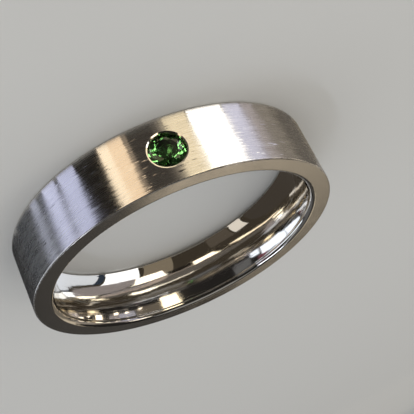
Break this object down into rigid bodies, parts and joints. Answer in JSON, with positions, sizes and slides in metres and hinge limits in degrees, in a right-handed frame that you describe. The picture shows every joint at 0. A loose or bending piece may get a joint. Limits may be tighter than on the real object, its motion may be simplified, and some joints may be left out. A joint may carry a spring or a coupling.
{
  "type": "flush set gypsy ring",
  "caption": "Flat metal finger ring with a brushed outside, a polished comfort fit bore and one round green brilliant set flush in the band.",
  "frame": {"origin": "middle of the edge face that the ring lies on, on the ring's own axis, at floor level", "axes": "+Z along the ring's axis, up, -Y through the middle of the stone's table, +X to the right when the stone faces the viewer"},
  "size_m": [0.0218, 0.0218, 0.0045],
  "materials": {
    "white_gold": "brushed along the outside, satin edge faces, mirror polished bore and setting rim",
    "green_stone": "clear green, polished facets"
  },
  "bodies": {
    "root": {"band": "white_gold", "stone": "green_stone"}
  },
  "joints": []
}
